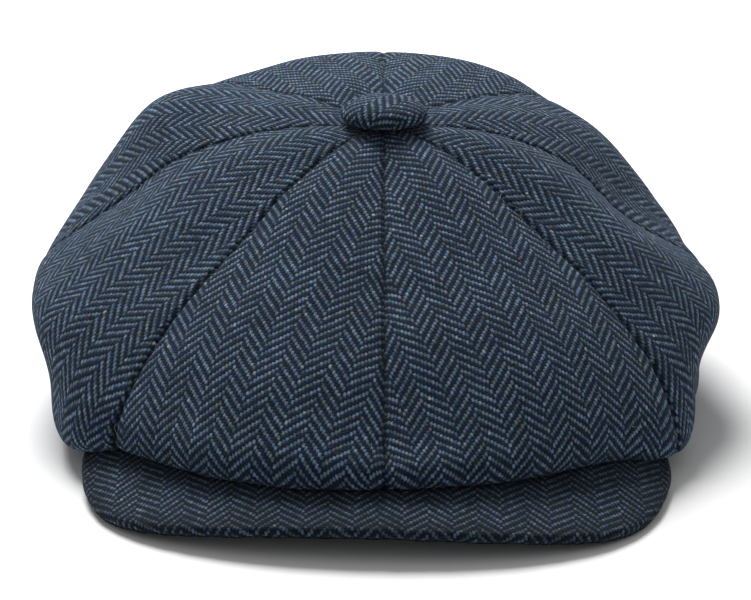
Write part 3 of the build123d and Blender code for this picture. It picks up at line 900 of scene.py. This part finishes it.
def peak_cover(name, tree, way, turns, shrink):
    """A cover of the peak: flat on the board, then rolled round the edge through some turns."""
    count = len(outer_line)
    net = [[] for _ in range(PEAK_ROWS + len(turns))]
    spots = [[] for _ in net]
    seam_and_painted_shades = [[] for _ in net]
    for c, (inner, outer) in enumerate(zip(inner_line, outer_line)):
        tangent = outer_line[min(c + 1, count - 1)] - outer_line[max(c - 1, 0)]
        outside = Vector((-tangent.y, tangent.x, 0)).normalized()
        if outside.dot(outer - inner) < 0:
            outside = -outside
        radius = min(peak_thickness, 0.4 * (outer - inner).length)
        base = outer - outside * radius
        tuck = noise.noise(Vector((outer.x, outer.y, 0)) / (5 * MM))
        for k in range(PEAK_ROWS):
            share = k / (PEAK_ROWS - 1)
            place = inner.lerp(base, share ** 0.85)
            well_on = inner.lerp(base, min(max(share, 0.02), 0.98))
            here = over_peak(place, tree, way) or over_peak(well_on, tree, way)
            edge = (base - place).length
            wave = EDGE_PUCKER * math.exp(-edge / EDGE_PUCKER_REACH) * tuck
            dent = noise.noise(place / PEAK_DENT_SIZE) * PEAK_DENT
            rise = wave - way.z * dent * min(edge / (10 * MM), 1)
            net[k].append(Vector((place.x, place.y, here.z + rise)))
            spots[k].append((place.x, place.y))
            # Painted shade over all the peak, more at its middle and at its rolled front edge, where the
            # crown and the roll shade it.
            seam_and_painted_shades[k].append(PEAK_PAINTED_SHADE + 0.2 * swell(place.x, 70 * MM) + 0.3 * swell(edge, 4 * MM))
        start = net[PEAK_ROWS - 1][-1]
        for k, turn in enumerate(turns):
            angle = math.radians(turn)
            arc = abs(math.radians(90 - abs(turn) if turn * turns[0] > 0 else 90 + abs(turn))) * radius
            wave = EDGE_PUCKER * noise.noise(Vector((outer.x, outer.y, 0.3 * k * MM)) / (6 * MM))
            reach = (radius - shrink + wave) * math.cos(angle)
            rise = (radius - shrink) * (math.sin(angle) + way.z)
            place = base + outside * reach
            net[PEAK_ROWS + k].append(Vector((place.x, place.y, start.z + rise)))
            spot = base + outside * arc
            spots[PEAK_ROWS + k].append((spot.x, spot.y))
            # The roll round the edge gets painted shade too.
            seam_and_painted_shades[PEAK_ROWS + k].append(PEAK_PAINTED_SHADE + 0.3)
    if way.z > 0:
        net, spots, seam_and_painted_shades = ([row[::-1] for row in rows] for rows in (net, spots, seam_and_painted_shades))
    cover = net_mesh(name, net, spots, [shade for row in seam_and_painted_shades for shade in row])
    xs = [x for row in spots for x, y in row]
    ys = [y for row in spots for x, y in row]
    return cover, (max(xs) - min(xs), max(ys) - min(ys)), strip_area(spots)


top_cover, flat, area = peak_cover("peak_top_tweed", top_tree, -UP, EDGE_TURNS, 0.0)
clad(top_cover, PEAK_COVER, 0, tweed, "peak", "peak_top_cover")
under_cover, flat, area = peak_cover("peak_under_tweed", under_tree, UP, UNDER_TURNS, UNDER_SHRINK)
clad(under_cover, PEAK_COVER, 0, tweed, "peak", "peak_under_cover")


def peak_plastic():
    """Calendered polyethylene sheet, matt white, with a faint rolled texture."""
    stops = (0.3, "#dcdcd6"), (0.7, "#e8e8e3")
    return mottled(
        "peak_board_plastic", 300.0, 3.0, stops, (0.5, 0.5), 0.03 * MM, 0.5, {"IOR": 1.51})


dress("peak_board", peak_plastic())


# ---- Press stud ----
# A socket under the crown's front and a stud on the peak that hold each other shut,
# pressed from brass sheet and blackened, so that they don't show beside the tweed.
blackened = pressed_metal("blackened_brass", ("#191a1c", "#2c2d30"), 0.42, 500.0)
for node in ("snap_socket", "snap_stud"):
    dress(node, blackened)


# ---- Join tape ----
# A bias strip of the tweed that sews the peak's root to the headband: a short wall against the headband, and
# a lip turned under the peak.
JOIN_TAPE = 0.25 * MM
JOIN_GAP = 0.25 * MM          # from the peak's root in to the strip
JOIN_RISE = 0.7 * MM          # how far the strip stands over the peak's root
JOIN_LIP = 7 * MM
JOIN_CLEAR = 0.14 * MM        # from the under cover down to the lip
WALL_ROWS, LIP_ROWS = 6, 8

skin = BVHTree.FromObject(under_cover, bpy.context.evaluated_depsgraph_get())
net = [[] for _ in range(WALL_ROWS + LIP_ROWS)]
spots = [[] for _ in net]
run = 0.0
for c, root in enumerate(inner_line[1:-1]):
    out = Vector((root.x - hem_middle.x, root.y - hem_middle.y, 0)).normalized()
    wall = root - out * JOIN_GAP
    high = over_peak(root + out * MM, top_tree, -UP).z + JOIN_RISE
    low = skin.ray_cast(root + out * MM - UP * 0.1, UP)[0].z - JOIN_CLEAR
    if c:
        run += (root - inner_line[c]).length
    for k in range(WALL_ROWS):
        height = high + (low - high) * k / (WALL_ROWS - 1)
        net[k].append(Vector((wall.x, wall.y, height)))
        spots[k].append((run, high - height))
    for k in range(LIP_ROWS):
        reach = JOIN_LIP * (k + 1) / LIP_ROWS
        place = wall + out * reach
        hit = skin.ray_cast(root + out * max(reach, MM) - UP * 0.1, UP)[0]
        net[WALL_ROWS + k].append(Vector((place.x, place.y, hit.z - JOIN_CLEAR)))
        spots[WALL_ROWS + k].append((run, high - low + reach))
join = net_mesh("peak_join_tape", net, spots)
finish_sheet(join, JOIN_TAPE, 0)
join.data.materials.append(tweed)
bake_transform(join)
flat = (run, max(y for x, y in spots[-1]))


# ---- Loose wool ----
# Fine hairs that stand off the milled tweed, most of them dark and short, a few long
# and pale. Each is one bent shape, rooted in the cloth.
HAIR_SIDES, HAIR_STEPS = 3, 4
HAIR_RADIUS = 0.05 * MM
SHORT_HAIR, LONG_HAIR = (1.0, 3.0), (4, 8)      # mm
SHORT_SHARE = 0.9
HAIR_LOWEST = 6 * MM          # none grow lower than this, where the cap lies on the table
# Body, its sheets, and how many hairs stand on each sheet.
HAIRS = (("crown", [f"{panel}_cloth" for panel in PANELS], 130), ("peak", ["peak_top_tweed"], 90))


def wool_hair():
    """Wool fibre: dull hair in blue-grey and undyed cream."""
    stops = (0.3, "#2c3747"), (0.52, "#5f6d7c"), (0.6, "#a9a8a0"), (0.7, "#d5d0c4")
    return mottled("loose_wool", 140.0, 1.0, stops, (0.7, 0.7), shading={"Sheen Weight": 0.1})


wool = wool_hair()
for body, sheets, each in HAIRS:
    chance = random.Random(5)
    corners, faces = [], []
    for name in sheets:
        mesh = bpy.data.objects[name].data
        roots = [v for v in mesh.vertices if v.normal.z > -0.2 and v.co.z > HAIR_LOWEST]
        for _ in range(each):
            root = chance.choice(roots)
            along = root.normal.cross(Vector([chance.uniform(-1, 1) for _ in range(3)])).normalized()
            lengths = SHORT_HAIR if chance.random() < SHORT_SHARE else LONG_HAIR
            length = chance.uniform(*lengths) * MM
            stand, curl = chance.uniform(0.1, 0.5), chance.uniform(-1.2, 1.2)
            side = root.normal.cross(along)
            start = len(corners)
            for k in range(HAIR_STEPS + 1):
                share = k / HAIR_STEPS
                way = along * math.cos(curl * share) + side * math.sin(curl * share)
                arch = root.normal * length * stand * math.sin(math.pi * share)
                middle = root.co + way * length * share + arch
                thick = HAIR_RADIUS * (1 - 0.7 * share)
                for s in range(HAIR_SIDES):
                    turn = math.tau * s / HAIR_SIDES
                    round_it = root.normal * math.cos(turn) + side * math.sin(turn)
                    corners.append(middle + round_it * thick)
            for k in range(HAIR_STEPS):
                for s in range(HAIR_SIDES):
                    a = start + k * HAIR_SIDES + s
                    b = start + k * HAIR_SIDES + (s + 1) % HAIR_SIDES
                    faces.append((a, a + HAIR_SIDES, b + HAIR_SIDES, b))
            faces.append(tuple(range(start, start + HAIR_SIDES)))
            faces.append(tuple(range(len(corners) - 1, len(corners) - 1 - HAIR_SIDES, -1)))
    mesh = bpy.data.meshes.new(f"loose_wool_{body}")
    mesh.from_pydata(corners, [], faces)
    mesh.update()
    hairs = placed(f"loose_wool_{body}", mesh)
    mesh.materials.append(wool)
    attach(hairs, body)


# ---- Table, light and camera ----
# A pale table under one large soft lamp from above, seen from the front.
LAMP_POWER = 38.0
LAMP_SIZE = 1.0
LAMP_PLACE = (-0.32, 0.92, 1.25)
LAMP_AIM = Vector((0, 0, 0.05))
WORLD_LIGHT = 0.33            # what the white room gives the cap; it shows as plain white
CAMERA_PLACE = (-0.001, -1.048, 0.393)
CAMERA_TILT = math.radians(71)
CAMERA_LENS, CAMERA_SENSOR = 143.2, 36          # mm

bpy.ops.object.select_all(action="DESELECT")
bpy.ops.mesh.primitive_plane_add(size=12, location=(0, 4, 0))
table = bpy.context.object
table.name = "table"
table_paint, tree = new_material("white_table")
shader = add_node(tree, "BsdfDiffuse", {"Color": linear("#fbfbfb")})
add_node(tree, "OutputMaterial", {0: shader})
table.data.materials.append(table_paint)

lamp_data = bpy.data.lights.new("soft_lamp", "AREA")
lamp_data.shape, lamp_data.size, lamp_data.energy = "DISK", LAMP_SIZE, LAMP_POWER
lamp = placed("soft_lamp", lamp_data)
lamp.location = LAMP_PLACE
lamp.rotation_euler = (LAMP_AIM - lamp.location).to_track_quat("-Z", "Y").to_euler()

world = bpy.data.worlds.new("studio")
bpy.context.scene.world = world
world.use_nodes = True
tree = world.node_tree
tree.nodes.clear()
ray = add_node(tree, "LightPath")
seen = add_node(
    tree, "Math", {0: ray.outputs["Is Camera Ray"], 1: ray.outputs["Is Glossy Ray"]},
    operation="MAXIMUM")
seen = add_node(tree, "Math", {0: seen, 1: ray.outputs["Is Transmission Ray"]}, operation="MAXIMUM")
strength = add_node(tree, "MapRange", {0: seen, 3: WORLD_LIGHT, 4: 1.0})
sky = add_node(tree, "Background", {"Color": (1, 1, 1, 1), "Strength": strength.outputs[0]})
add_node(tree, "OutputWorld", {0: sky})

camera_data = bpy.data.cameras.new("camera")
camera_data.lens, camera_data.sensor_width = CAMERA_LENS, CAMERA_SENSOR
camera_data.clip_end = 50
camera = placed("camera", camera_data)
camera.location = CAMERA_PLACE
camera.rotation_euler = (CAMERA_TILT, 0, 0)
bpy.context.scene.camera = camera
bpy.context.scene.view_settings.view_transform = "Standard"
